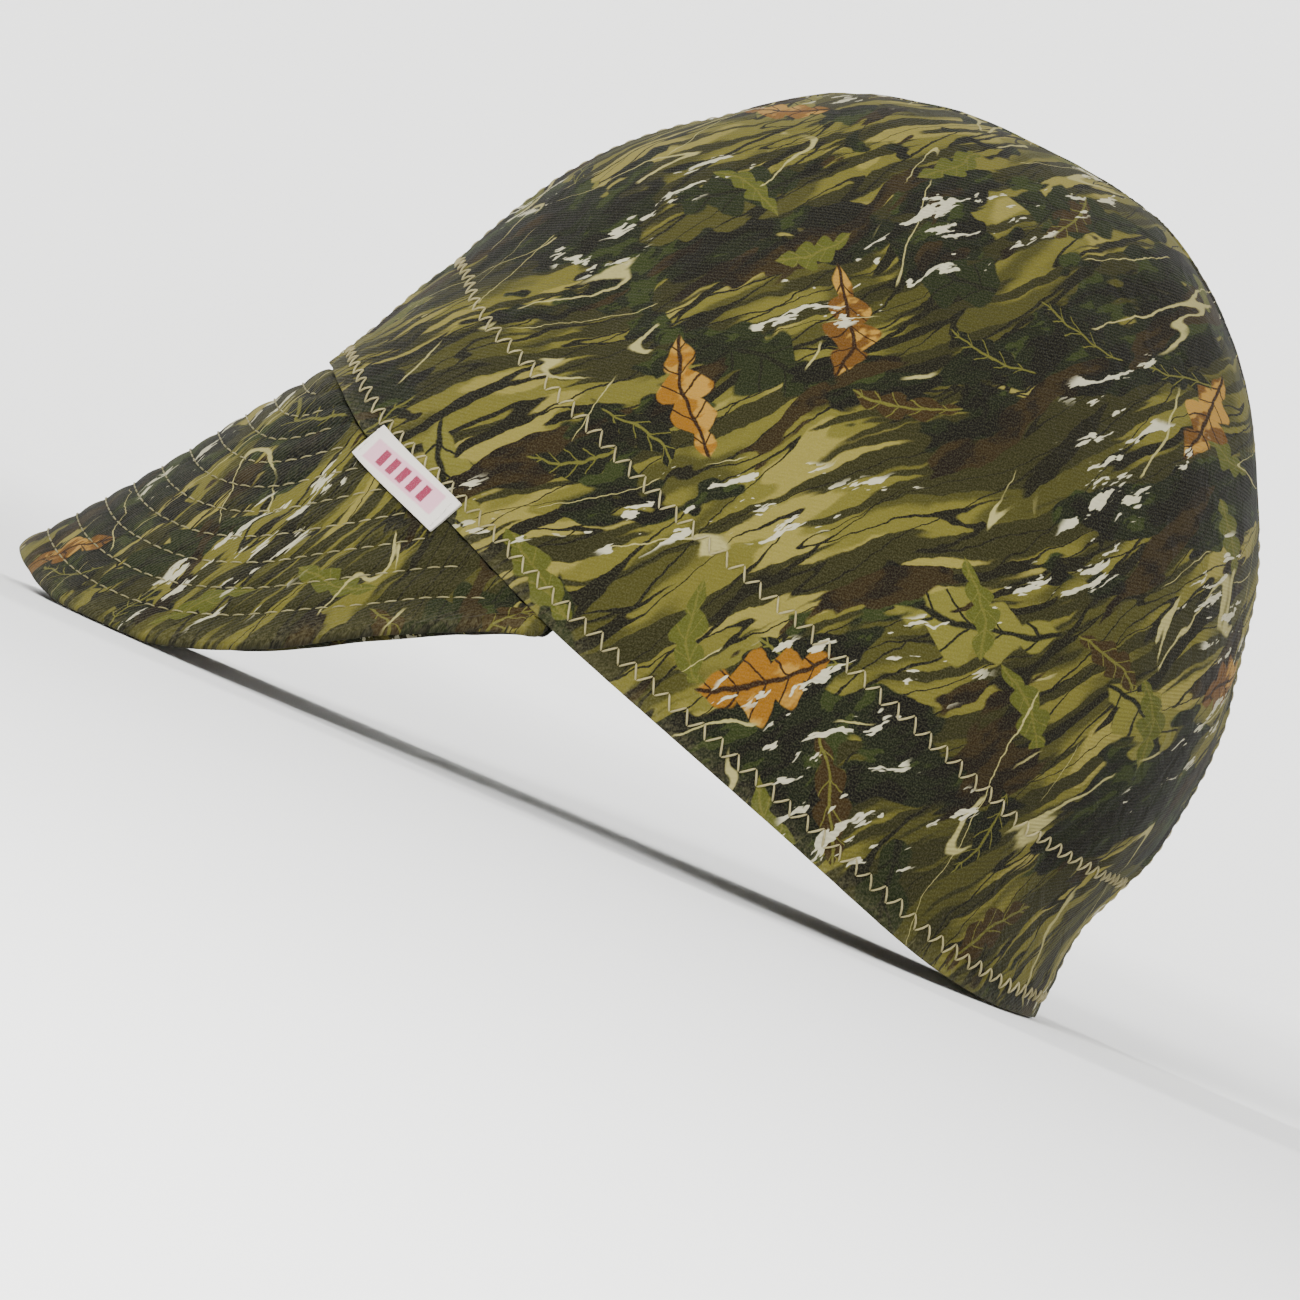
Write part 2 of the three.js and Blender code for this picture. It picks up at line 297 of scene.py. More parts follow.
def crown_relief(point):
    """How far a point of the crown moves out: slack, puckers, hem, rows and centre seam."""
    above = above_rim(point)
    aside = abs(point.x)
    slack = ripple(point, 20, SLACK) + ripple(point, 52, SMALL_SLACK, shift=(3, 1, 7))
    slack *= min(1.0, max(above, 0) / SLACK_FREE)
    around = math.atan2(point.x, point.y - HEAD_CENTRE.y)
    puckers = ripple(Vector((around * 26, above * 60, 2)), 1, PUCKER)
    near_rows = bell(above - BAND_ROW - 3 * MM, 6 * MM) + 0.7 * bell(above - HEM_ROW, 5 * MM)
    hem = HEM_THICKNESS if above < HEM_FOLD else 0.0
    rows = -0.45 * MM * bell(above - BAND_ROW, 2.0 * MM) - 0.35 * MM * bell(above - HEM_ROW, 1.6 * MM)
    ridge = 0.0
    if aside < SEAM_FOLD:
        ridge = RIDGE - 0.5 * MM * bell(aside, 0.8 * MM) - 0.25 * MM * bell(aside - SEAM_ROW, 0.8 * MM)
    seam_pucker = ripple(point, 170, 0.25 * MM) * bell(aside, 9 * MM)
    return slack + puckers * near_rows + hem + rows + ridge + seam_pucker


def crown_wear(point):
    """Where cloth rubs first: the hem's edge and the ridge of the centre seam."""
    return min(1.0, bell(above_rim(point), 2.5 * MM) + 0.5 * bell(abs(point.x) - 2 * MM, 1.5 * MM))


def shape_crown(piece, side):
    """side 1 and -1 are the two halves, whose cut edges meet. 0 is the band."""
    wear = piece.data.attributes.new("wear", "FLOAT", "POINT")
    for vertex in piece.data.vertices:
        point = vertex.co
        wear.data[vertex.index].value = crown_wear(point) if side else 0.0
        outward = (point - DOME_CENTRE).normalized()
        moved = point + outward * crown_relief(point)
        if side and abs(point.x) < SEAM_GAP:
            moved.x = side * 0.01 * MM
        moved.z = max(moved.z, 0.0)
        vertex.co = moved
    piece.data.update()


shape_crown(left_panel, 1)
shape_crown(right_panel, -1)
shape_crown(sweatband, 0)
crown_tree = tree_of(left_panel, right_panel)
print("crown relief done")

# %% [markdown]
# ## The quilted bill
# The bill of such a cap is two layers of cloth over a soft filling, stitched
# in rows that run parallel to its edge. Each row pulls the layers together, so
# the surface rises between the rows. The distance to the edge, measured above,
# is all that this needs. Small noise keeps the quilting from looking machined.

# %% Quilt the bill
QUILT_PITCH = 6.5 * MM
QUILT_DEPTH = 0.55 * MM
QUILT_SWELL = 0.7        # below 1 the rows are narrow grooves between full pads
QUILT_MEAN = 0.6         # the swell's mean, so the bill keeps its thickness
EDGE_WEAR = 2.2 * MM
PAD_WEAR = 0.25


def between_rows(distance):
    """0 on a stitched row and 1 halfway between two rows."""
    return abs(math.sin(math.pi * distance / QUILT_PITCH))


def quilt_relief(point, distance):
    crinkle = ripple(point, 190, 0.12 * MM) + ripple(point, 75, 0.40 * MM)
    slack = ripple(point, 30, 0.54 * MM, shift=(5, 2, 1))
    return (between_rows(distance) ** QUILT_SWELL - QUILT_MEAN) * QUILT_DEPTH + crinkle + slack


bill.data.update()
wear = bill.data.attributes.new("wear", "FLOAT", "POINT")
normals = [vertex.normal.copy() for vertex in bill.data.vertices]
for vertex, normal in zip(bill.data.vertices, normals):
    distance = edge_places.find(vertex.co)[2]
    wear.data[vertex.index].value = bell(distance, EDGE_WEAR) + PAD_WEAR * between_rows(distance) ** 3
    moved = vertex.co + normal * quilt_relief(vertex.co, distance)
    moved.z = max(moved.z, 0.0)
    vertex.co = moved
bill.data.update()
print("bill quilted every", QUILT_PITCH / MM, "mm")

# %% [markdown]
# ## One stitch, copied along every row
# A stitch is a short piece of twisted thread that dips into the cloth at both
# ends. It is modelled once as a bar of six sides with a raised middle, then
# copied to every place of a row. All rows of one kind become one piece.

# %% Model one stitch
THREAD = 0.46 * MM


def model_stitch():
    bpy.ops.object.select_all(action="DESELECT")
    bpy.ops.mesh.primitive_cylinder_add(vertices=6, radius=0.5, depth=1.0, rotation=(0, math.pi / 2, 0))
    stitch = bpy.context.object
    bpy.ops.object.transform_apply(location=False, rotation=True, scale=False)
    bpy.ops.object.mode_set(mode="EDIT")
    for ring in (-0.3, 0.0, 0.3):
        bpy.ops.mesh.select_all(action="SELECT")
        bpy.ops.mesh.bisect(plane_co=(ring, 0, 0), plane_no=(1, 0, 0))
    bpy.ops.object.mode_set(mode="OBJECT")
    for vertex in stitch.data.vertices:
        reach = abs(vertex.co.x) * 2
        slim = 1 - 0.35 * reach ** 3
        vertex.co.y *= slim
        vertex.co.z = vertex.co.z * slim - 0.9 * reach ** 2 + 0.25
    return stitch


stitch = model_stitch()
stitch_points = [vertex.co.copy() for vertex in stitch.data.vertices]
stitch_faces = [list(polygon.vertices) for polygon in stitch.data.polygons]
bpy.data.objects.remove(stitch)
print("stitch", len(stitch_faces), "faces")

# %% Copy it between pairs of places
def sew(name, legs, thick=THREAD):
    """legs: (start, end, cloth normal) of each visible stitch."""
    points = []
    faces = []
    for start, end, normal in legs:
        run = end - start
        across = normal.cross(run).normalized()
        out = run.cross(across).normalized()
        middle = (start + end) / 2
        first = len(points)
        for point in stitch_points:
            points.append(middle + run * point.x + across * (point.y * thick) + out * (point.z * thick))
        faces.extend([first + corner for corner in face] for face in stitch_faces)
    mesh = bpy.data.meshes.new(name)
    mesh.from_pydata(points, [], faces)
    mesh.update()
    piece = bpy.data.objects.new(name, mesh)
    bpy.context.scene.collection.objects.link(piece)
    select_only(piece)
    bpy.ops.object.shade_smooth()
    print(name, len(legs), "stitches")
    return piece


# %% [markdown]
# ## Zigzag rows round the head
# The side shows two rows of zigzag: one just above the hem and one where the
# sweatband ends inside. Places are taken at even steps round the rim, once low
# and once high, and joined leg by leg.

# %% Sew the zigzag rows
ZIGZAG_PITCH = 4.4 * MM
ZIGZAG_WIDTH = 3.0 * MM
THREAD_LIFT = 0.12 * MM
LEG_INSET = 0.04
SEARCH_STEP = math.radians(0.1)
ROW_START = 0.01


def even_angles(offset, first, last, step):
    """Angles whose places on the cloth lie an even step apart."""
    found = []
    angle = first
    before = None
    since = step
    while angle < last:
        hit = look_in(crown_tree, angle, rim_at(angle) + offset)
        if hit and before:
            since += (hit[0] - before).length
        if hit and since >= step:
            found.append(angle)
            since -= step
        before = hit[0] if hit else before
        angle += SEARCH_STEP
    return found


def zigzag(offset, first, last):
    legs = []
    places = []
    for index, angle in enumerate(even_angles(offset, first, last, ZIGZAG_PITCH / 2)):
        swing = ZIGZAG_WIDTH / 2 * (1 if index % 2 else -1)
        hit = look_in(crown_tree, angle, rim_at(angle) + offset + swing)
        if hit:
            places.append((hit[0] + hit[1] * THREAD_LIFT, hit[1]))
    for (start, normal), (end, _) in zip(places, places[1:]):
        if (end - start).length < 3 * ZIGZAG_PITCH:
            inset = (end - start) * LEG_INSET
            legs.append((start + inset, end - inset, normal))
    return legs


hem_stitches = sew("hem_stitches", zigzag(HEM_ROW, ROW_START, math.tau - ROW_START))
band_stitches = sew("band_stitches", zigzag(BAND_ROW, ROW_START, math.tau - ROW_START))

# %% [markdown]
# ## Straight rows on the centre seam and the bill
# The centre seam is stitched down on both sides, and the bill is quilted in
# rows parallel to its edge. Both are running stitches: the thread shows for
# most of each step and dives under for the rest.

# %% Running stitches
STITCH_STEP = 3.4 * MM
STITCH_SHOWN = 0.78
SEAM_STEPS = 2600        # tenths of a degree, from below the brow to the nape
SEAM_START = 20
SEAM_THREAD = 0.32 * MM
FLOOR_ROOM = 3 * MM


def running(places):
    legs = []
    line = evenly([point for point, _ in places], STITCH_STEP)
    tree = KDTree(len(places))
    for index, (point, _) in enumerate(places):
        tree.insert(point, index)
    tree.balance()
    for start, end in zip(line, line[1:]):
        _, index, _ = tree.find(start)
        if (end - start).length < 2 * STITCH_STEP:
            legs.append((start, start.lerp(end, STITCH_SHOWN), places[index][1]))
    return legs


def seam_places(side):
    places = []
    for step in range(SEAM_STEPS):
        angle = math.radians(step * 0.1 - SEAM_START)
        ray = Vector((0.0, -math.cos(angle), math.sin(angle)))
        start = DOME_CENTRE + Vector((side * SEAM_ROW, 0, 0)) + ray * FAR
        point, normal, _, _ = crown_tree.ray_cast(start, -ray, FAR - 1.5 * RAY_STOP)
        if point and point.z > FLOOR_ROOM:
            places.append((point + normal * THREAD_LIFT, normal))
    return places


seam_legs = running(seam_places(1)) + running(seam_places(-1))
seam_stitches = sew("seam_stitches", seam_legs, thick=SEAM_THREAD)

# %% Rows of the bill
SEAM_ROOM = 4 * MM
BILL_THREAD = 0.34 * MM
MOST_ROWS = 13
FEWEST_PLACES = 9
BELOW_BILL = -20 * MM
bill_mesh = bill.data
from_edge = [edge_places.find(vertex.co)[1:] for vertex in bill_mesh.vertices]


def bill_row(distance, side):
    """The line at one distance from the edge. side 1 is the upper face and -1 the lower."""
    found = {}
    for edge in bill_mesh.edges:
        first, second = edge.vertices
        near, far = from_edge[first][1], from_edge[second][1]
        if (near < distance) == (far < distance):
            continue
        share = (distance - near) / (far - near)
        start, end = bill_mesh.vertices[first], bill_mesh.vertices[second]
        point = start.co.lerp(end.co, share)
        normal = start.normal.lerp(end.normal, share).normalized()
        if normal.dot(point - Vector((0.0, point.y, BELOW_BILL))) * side <= 0:
            continue
        if crown_tree.find_nearest(point)[3] < SEAM_ROOM:
            continue
        found.setdefault(from_edge[first][0], []).append((point, normal))
    places = []
    for index in sorted(found):
        point = sum((place for place, _ in found[index]), Vector()) / len(found[index])
        normal = sum((across for _, across in found[index]), Vector()).normalized()
        places.append((point + normal * THREAD_LIFT, normal))
    return places


bill_legs = []
for row in range(1, MOST_ROWS + 1):
    for side in (1, -1):
        places = bill_row(row * QUILT_PITCH, side)
        if len(places) >= FEWEST_PLACES:
            bill_legs.extend(running(places))
bill_stitches = sew("bill_stitches", bill_legs, thick=BILL_THREAD)

# %% [markdown]
# ## Sewing the label down
# A small tape never lies quite flat, so its points are lifted a little by noise.
# The label is held by a short row of white stitches across each folded end.
# The tape's direction runs between its two ends, which are found from the two
# points that lie furthest apart.

# %% Stitches across the ends of the label
LABEL_ROW = 1.6 * MM
LABEL_END = 9 * MM       # how much of the tape counts as one end
LABEL_THREAD = 0.30 * MM
LABEL_STITCHES = range(-2, 3)
LABEL_STEP = 0.37        # of half the label's width
LABEL_STITCH_HALF = 0.36
ABOVE_LABEL = 20 * MM
for vertex in label.data.vertices:
    vertex.co.x += ripple(vertex.co, 140, 0.35 * MM) + ripple(vertex.co, 420, 0.08 * MM)
label.data.update()


def middle_of(points):
    return sum(points, Vector()) / len(points)


def end_near(tip):
    return middle_of([point for point in label_points if (point - tip).length < LABEL_END])


def place_on_label(along, across):
    start = label_middle + label_run * along + label_side * across + faces_out * ABOVE_LABEL
    point, normal, _, _ = label_tree.ray_cast(start, -faces_out, 2 * ABOVE_LABEL)
    return (point + normal * THREAD_LIFT, normal) if point else None


label_tree = tree_of(label)
label_points = [vertex.co.copy() for vertex in label.data.vertices]
label_middle = middle_of(label_points)
first_tip = max(label_points, key=lambda point: (point - label_middle).length)
other_tip = max(label_points, key=lambda point: (point - first_tip).length)
label_run = (end_near(other_tip) - end_near(first_tip)).normalized()
if label_run.z > 0:
    label_run = -label_run
outer_faces = [face for face in label.data.polygons if face.normal.x > 0]
faces_out = sum((face.normal * face.area for face in outer_faces), Vector()).normalized()
label_side = label_run.cross(faces_out).normalized()
label_length = max((point - label_middle).dot(label_run) for point in label_points)
label_width = max((point - label_middle).dot(label_side) for point in label_points)
label_legs = []
for end in (-1, 1):
    along = end * (label_length - LABEL_ROW)
    for step in LABEL_STITCHES:
        start, stop = (place_on_label(along, (step + half) * label_width * LABEL_STEP)
                       for half in (-LABEL_STITCH_HALF, LABEL_STITCH_HALF))
        if start and stop:
            label_legs.append((start[0], stop[0], start[1]))
label_stitches = sew("label_stitches", label_legs, thick=LABEL_THREAD)

# %% [markdown]
# ## Where the print lies on the cloth
# Cloth is printed flat and sewn afterwards. Each piece therefore gets a map,
# in centimetres, of where its points lay on the flat cloth. A side of the
# crown is unrolled about its middle, the bill across its arch, and the bands
# along their length. The right side uses another part of the cloth.

# %% Unroll each piece
CM = 10 * MM
BALL_RADIUS = 85 * MM
BALL_CENTRE = HEAD_CENTRE + UP * (45 * MM)
ARCH_RADIUS = 85 * MM
ARCH_HEIGHT = 64 * MM    # the bill's ridge at the crown
ARCH_FALL = 28 * MM      # and how much lower it is at the front
LEFT_ON_CLOTH, LEFT_TURN = (0, 0), 0.0
RIGHT_ON_CLOTH, RIGHT_TURN = (31, 17), math.radians(200)
BILL_ON_CLOTH = (60, 20)
BAND_ON_CLOTH = 90


def unroll(piece, place_of):
    layer = piece.data.uv_layers.new(name="cloth")
    spots = [place_of(vertex.co) for vertex in piece.data.vertices]
    for loop in piece.data.loops:
        layer.data[loop.index].uv = spots[loop.vertex_index]
    piece.data.uv_layers.active = layer


def side_place(side, shift, turn):
    def place_of(point):
        ray = (point - BALL_CENTRE).normalized()
        sideways = ray.x * side
        level = Vector((ray.dot(ALONG), ray.dot(UP)))
        reach = math.atan2(level.length, sideways) * BALL_RADIUS / CM
        direction = math.atan2(level.y, level.x) + turn
        return (shift[0] + reach * math.cos(direction), shift[1] + reach * math.sin(direction))
    return place_of


def bill_place(point):
    forward = bill_high.y - point.y
    ridge = ARCH_HEIGHT - ARCH_FALL * forward / (bill_high.y - bill_low.y)
    around = math.atan2(point.x, point.z - ridge + ARCH_RADIUS)
    return (BILL_ON_CLOTH[0] - forward / CM, BILL_ON_CLOTH[1] - around * ARCH_RADIUS / CM)


def band_place(point):
    side = point - HEAD_CENTRE
    around = math.atan2(side.x, side.dot(ALONG))
    return (around * BALL_RADIUS / CM + BAND_ON_CLOTH, side.dot(UP) / CM)


def label_place(point):
    offset = point - label_middle
    return (offset.dot(label_run) / CM, offset.dot(label_side) / CM)


unroll(left_panel, side_place(1, LEFT_ON_CLOTH, LEFT_TURN))
unroll(right_panel, side_place(-1, RIGHT_ON_CLOTH, RIGHT_TURN))
unroll(bill, bill_place)
unroll(sweatband, band_place)
unroll(label, label_place)
print("five maps of the flat cloth")

# %% [markdown]
# ## Building materials from nodes
# A print has many layers, so a few short helpers keep the recipes readable:
# `add` places a node, `calc` does sums, `cut` turns a soft pattern into a mask
# and `over` lays one colour on another. `place_on` turns, shifts and stretches
# the place at which a pattern is read, and `speckle` is soft noise.

# %% Helpers for nodes
def add(tree, kind, inputs=None, **settings):
    node = tree.nodes.new(kind)
    for key, value in settings.items():
        setattr(node, key, value)
    for key, value in (inputs or {}).items():
        if isinstance(value, bpy.types.NodeSocket):
            tree.links.new(value, node.inputs[key])
        else:
            node.inputs[key].default_value = value
    return node


def calc(tree, operation, first, second=0.0, third=0.0):
    return add(tree, "ShaderNodeMath", {0: first, 1: second, 2: third}, operation=operation).outputs[0]


def cut(tree, value, low, high, bottom=0.0, top=1.0):
    return add(tree, "ShaderNodeMapRange", {"Value": value, "From Min": low, "From Max": high,
               "To Min": bottom, "To Max": top}, interpolation_type="SMOOTHSTEP").outputs["Result"]


def over(tree, mask, under, colour):
    return add(tree, "ShaderNodeMix", {"Factor": mask, "A": under, "B": colour},
               data_type="RGBA").outputs["Result"]


def ink(code):
    """A colour as seen on paper, such as 8f8a4f, turned into light."""
    parts = [int(code[start:start + 2], 16) / 255 for start in (0, 2, 4)]
    return tuple(part / 12.92 if part < 0.04 else ((part + 0.055) / 1.055) ** 2.4 for part in parts) + (1.0,)


def place_on(tree, spot, shift=(0, 0, 0), turn=0.0, scale=(1, 1, 1)):
    turned = add(tree, "ShaderNodeVectorRotate", {"Vector": spot, "Angle": turn},
                 rotation_type="Z_AXIS").outputs["Vector"]
    moved = add(tree, "ShaderNodeVectorMath", {0: turned, 1: shift}, operation="ADD").outputs["Vector"]
    return add(tree, "ShaderNodeVectorMath", {0: moved, 1: scale}, operation="MULTIPLY").outputs["Vector"]


def speckle(tree, spot, scale, detail=2.0, roughness=0.5, distortion=0.0):
    return add(tree, "ShaderNodeTexNoise", {"Vector": spot, "Scale": scale, "Detail": detail,
               "Roughness": roughness, "Distortion": distortion}, noise_dimensions="2D").outputs["Fac"]


def ragged(tree, spot, scale, amount):
    """Push a place about, so that straight edges become torn ones."""
    push = add(tree, "ShaderNodeTexNoise", {"Vector": spot, "Scale": scale, "Detail": 3.0},
               noise_dimensions="2D").outputs["Color"]
    centred = add(tree, "ShaderNodeVectorMath", {0: push, 1: (0.5, 0.5, 0.5)}, operation="SUBTRACT")
    sized = add(tree, "ShaderNodeVectorMath", {0: centred.outputs["Vector"], "Scale": amount},
                operation="SCALE")
    return add(tree, "ShaderNodeVectorMath", {0: spot, 1: sized.outputs["Vector"]},
               operation="ADD").outputs["Vector"]


def new_material(name):
    material = bpy.data.materials.new(name)
    material.use_nodes = True
    return material, material.node_tree, material.node_tree.nodes["Principled BSDF"]


print("node helpers ready")

# %% [markdown]
# ## Leaves and twigs for the print
# Camouflage for woods is made of leaves, twigs, bark and grass. A leaf is a
# pointed oval with a notched edge and a vein, one for each cell of a Voronoi
# pattern, turned at random. A twig is a thin contour line of stretched noise.

# %% Motifs
def leaf_layer(tree, spot, cell, length, width, share):
    """Masks of the leaf and of its veins, and a number that picks its colour.

    cell, length and width are in centimetres, and share says how many cells hold a leaf.
    """
    grid = add(tree, "ShaderNodeTexVoronoi", {"Vector": spot, "Scale": 1 / cell, "Randomness": 0.85},
               voronoi_dimensions="2D")
    chance = add(tree, "ShaderNodeSeparateColor", {"Color": grid.outputs["Color"]})
    local = add(tree, "ShaderNodeVectorMath", {0: spot, 1: grid.outputs["Position"]}, operation="SUBTRACT")
    turn = calc(tree, "MULTIPLY", chance.outputs["Red"], math.tau)
    turned = add(tree, "ShaderNodeVectorRotate", {"Vector": local.outputs["Vector"], "Angle": turn},
                 rotation_type="Z_AXIS")
    parts = add(tree, "ShaderNodeSeparateXYZ", {"Vector": turned.outputs["Vector"]})
    along = calc(tree, "DIVIDE", parts.outputs["X"], length / 2)
    bow = calc(tree, "MULTIPLY_ADD", calc(tree, "MULTIPLY", along, along), 0.25, parts.outputs["Y"])
    across = calc(tree, "ABSOLUTE", calc(tree, "DIVIDE", bow, width / 2))
    notch = calc(tree, "ABSOLUTE", calc(tree, "SINE", calc(tree, "MULTIPLY_ADD", along, 6.5, across)))
    outline = calc(tree, "SUBTRACT", 1.0, calc(tree, "POWER", calc(tree, "ABSOLUTE", along), 1.7))
    outline = calc(tree, "MULTIPLY", outline, calc(tree, "MULTIPLY_ADD", notch, 0.55, 0.5))
    inside = cut(tree, calc(tree, "SUBTRACT", outline, across), 0.0, 0.10)
    shown = calc(tree, "LESS_THAN", chance.outputs["Green"], share)
    side_vein = calc(tree, "ABSOLUTE", calc(tree, "SINE", calc(tree, "MULTIPLY_ADD", across, -3.4,
                     calc(tree, "MULTIPLY", along, 9.0))))
    veins = calc(tree, "MAXIMUM", cut(tree, across, 0.10, 0.04), cut(tree, side_vein, 0.22, 0.08))
    return calc(tree, "MULTIPLY", inside, shown), veins, chance.outputs["Blue"]


def twig_layer(tree, spot, turn, shift, thin, gate_low):
    """Thin lines where stretched noise passes its middle value, shown in some patches only."""
    long_spot = place_on(tree, spot, shift, turn, (0.085, 0.55, 1))
    field = speckle(tree, long_spot, 1.0, 1.0, 0.4, 0.3)
    line = cut(tree, calc(tree, "ABSOLUTE", calc(tree, "SUBTRACT", field, 0.5)), thin, thin * 0.45)
    patches = speckle(tree, place_on(tree, spot, shift, turn, (0.22, 0.4, 1)), 1.0, 2.0)
    gate = cut(tree, patches, gate_low, gate_low + 0.03)
    return calc(tree, "MULTIPLY", line, gate)


print("motifs ready")

# %% [markdown]
# ## The printed cotton
# From the ground up: light olive grass with dark bark lines, large leaves, green
# and brown shadows, small sprays, golden leaves, pale twigs and cream flecks.
# Each ink has a name, and each layer a function. Its numbers are the shift, the
# turn and the stretch of its pattern, and the limits between which its mask
# goes from nothing to full. Noise makes torn and streaky shapes of any size,
# which is why no picture is needed.

# %% Inks and layers of the print
STREAKS = math.radians(-66)
PRINT_STRENGTH = 1.03
PRINT_HUE = 0.507
PRINT_CONTRAST = 1.30
PRINT_DEPTH = 0.42

DRY_GRASS, STRAW, PALE_STRAW = ink("66622f"), ink("938b4a"), ink("b3a765")
BARK, DARK_BLADE = ink("474520"), ink("25230f")
OLD_LEAF, GREEN_LEAF, LEAF_VEIN = ink("9a9350"), ink("353f1c"), ink("23260f")
NIGHT_SHADOW, GREEN_SHADOW, MOSS = ink("101108"), ink("263015"), ink("4a5428")
DARK_EARTH, EARTH = ink("2a1b0b"), ink("4a3a1c")
SPRAY_GREEN, SPRAY_DARK, SPRAY_BROWN, SPRAY_VEIN = ink("787a38"), ink("1d2410"), ink("54401f"), ink("8a8648")
GOLDEN_LEAF, RUSTY_LEAF, LIT_LEAF, GOLDEN_VEIN = ink("b5823a"), ink("8d6433"), ink("d3a860"), ink("4a2c10")
TWIG, CREAM = ink("d2c893"), ink("efe9cf")


def grass_and_bark(tree, torn):
    ground = speckle(tree, place_on(tree, torn, (3, 9, 0), 0.0, (0.20, 0.75, 1)), 1.0, 2.0)
    colour = over(tree, cut(tree, ground, 0.42, 0.50), DRY_GRASS, STRAW)
    colour = over(tree, cut(tree, ground, 0.58, 0.61), colour, PALE_STRAW)
    bark = speckle(tree, place_on(tree, torn, (17, 2, 0), 0.12, (0.11, 1.5, 1)), 1.0, 2.0, 0.6)
    colour = over(tree, cut(tree, bark, 0.50, 0.53), colour, BARK)
    for turn, shift, thin in ((-0.16, (5, 31, 0), 0.016), (0.10, (47, 6, 0), 0.012)):
        blades = speckle(tree, place_on(tree, torn, shift, turn, (0.10, 1.15, 1)), 1.0, 1.0)
        stroke = calc(tree, "ABSOLUTE", calc(tree, "SUBTRACT", blades, 0.5))
        colour = over(tree, cut(tree, stroke, thin, thin * 0.6), colour, DARK_BLADE)
    return colour


def large_leaves(tree, torn, colour):
    mask, vein, pick = leaf_layer(tree, torn, 3.6, 3.7, 1.6, 0.45)
    leaf_ink = over(tree, cut(tree, pick, 0.40, 0.44), OLD_LEAF, GREEN_LEAF)
    leaf_ink = over(tree, vein, leaf_ink, LEAF_VEIN)
    return over(tree, mask, colour, leaf_ink)


def shadows(tree, torn, mottle, colour, dark_share):
    shade = speckle(tree, place_on(tree, torn, (40, 13, 0), 0.25, (0.13, 0.27, 1)), 1.0, 4.0, 0.60)
    mass_ink = over(tree, cut(tree, mottle, 0.44, 0.52), NIGHT_SHADOW, GREEN_SHADOW)
    mass_ink = over(tree, cut(tree, mottle, 0.59, 0.62), mass_ink, MOSS)
    colour = over(tree, cut(tree, shade, dark_share, dark_share + 0.012), colour, mass_ink)
    brown = speckle(tree, place_on(tree, torn, (71, 5, 0), -0.1, (0.20, 0.7, 1)), 1.0, 3.0)
    brown_ink = over(tree, cut(tree, mottle, 0.44, 0.54), DARK_EARTH, EARTH)
    return over(tree, cut(tree, brown, 0.632, 0.644), colour, brown_ink)


def small_sprays(tree, torn, colour):
    mask, vein, pick = leaf_layer(tree, place_on(tree, torn, (13, 7, 0)), 2.1, 2.2, 0.75, 0.34)
    spray_ink = over(tree, cut(tree, pick, 0.40, 0.44), SPRAY_GREEN, SPRAY_DARK)
    spray_ink = over(tree, cut(tree, pick, 0.78, 0.80), spray_ink, SPRAY_BROWN)
    spray_ink = over(tree, vein, spray_ink, SPRAY_VEIN)
    return over(tree, mask, colour, spray_ink)


def golden_leaves(tree, torn, mottle, colour):
    mask, vein, pick = leaf_layer(tree, place_on(tree, torn, (29, 3, 0)), 6.0, 3.0, 1.30, 0.36)
    leaf_ink = over(tree, cut(tree, pick, 0.3, 0.7), GOLDEN_LEAF, RUSTY_LEAF)
    leaf_ink = over(tree, cut(tree, mottle, 0.48, 0.56), leaf_ink, LIT_LEAF)
    leaf_ink = over(tree, vein, leaf_ink, GOLDEN_VEIN)
    return over(tree, mask, colour, leaf_ink)


def twigs_and_flecks(tree, torn, colour):
    for turn, shift, thin, gate in ((0.15, (2, 5, 0), 0.006, 0.52), (-0.60, (21, 9, 0), 0.006, 0.56)):
        colour = over(tree, twig_layer(tree, torn, turn, shift, thin, gate), colour, TWIG)
    fleck = speckle(tree, place_on(tree, torn, (9, 55, 0), 0.1, (0.75, 3.0, 1)), 1.0, 3.0, 0.65)
    patch = speckle(tree, place_on(tree, torn, (91, 4, 0), 0.0, (0.16, 0.40, 1)), 1.0, 1.0)
    bright = calc(tree, "MULTIPLY", cut(tree, fleck, 0.61, 0.63), cut(tree, patch, 0.58, 0.61))
    return over(tree, bright, colour, CREAM)


def camouflage(tree, spot, grain, dark_share):
    place = place_on(tree, spot, (0, 0, 0), STREAKS, (grain, grain, 1))
    torn = ragged(tree, ragged(tree, place, 0.20, 1.5), 2.6, 0.13)
    mottle = speckle(tree, place_on(tree, torn, (8, 8, 0), 0.0, (0.5, 1.2, 1)), 1.3, 3.0, 0.6)
    colour = grass_and_bark(tree, torn)
    colour = large_leaves(tree, torn, colour)
    colour = shadows(tree, torn, mottle, colour, dark_share)
    colour = small_sprays(tree, torn, colour)
    colour = golden_leaves(tree, torn, mottle, colour)
    colour = twigs_and_flecks(tree, torn, colour)
    deeper = add(tree, "ShaderNodeGamma", {"Color": colour, "Gamma": PRINT_CONTRAST}).outputs["Color"]
    return add(tree, "ShaderNodeHueSaturation", {"Hue": PRINT_HUE, "Saturation": PRINT_STRENGTH,
               "Value": PRINT_DEPTH, "Color": deeper}).outputs["Color"]


print("inks and layers ready")

# %% [markdown]
# ## Weave, wear and fluff
# Under the print lies the cloth itself. A twill bump gives its diagonal cords,
# and a broader bump its crinkles. Wear and fluff dull the print a little, and
# the sheen is faint, because cotton is matt. The inside shows the print paler.

# %% Printed cotton
TWILL_ANGLE = math.radians(62)
TWILL_PITCH = 0.085      # in centimetres, as the maps are
BACK_OF_PRINT, RUBBED, FLUFF = ink("8f8a68"), ink("7a7554"), ink("b5b08c")
BACK_SHARE = 0.55
RUBBED_SHARE = 0.16
FLUFF_SHARE = 0.045


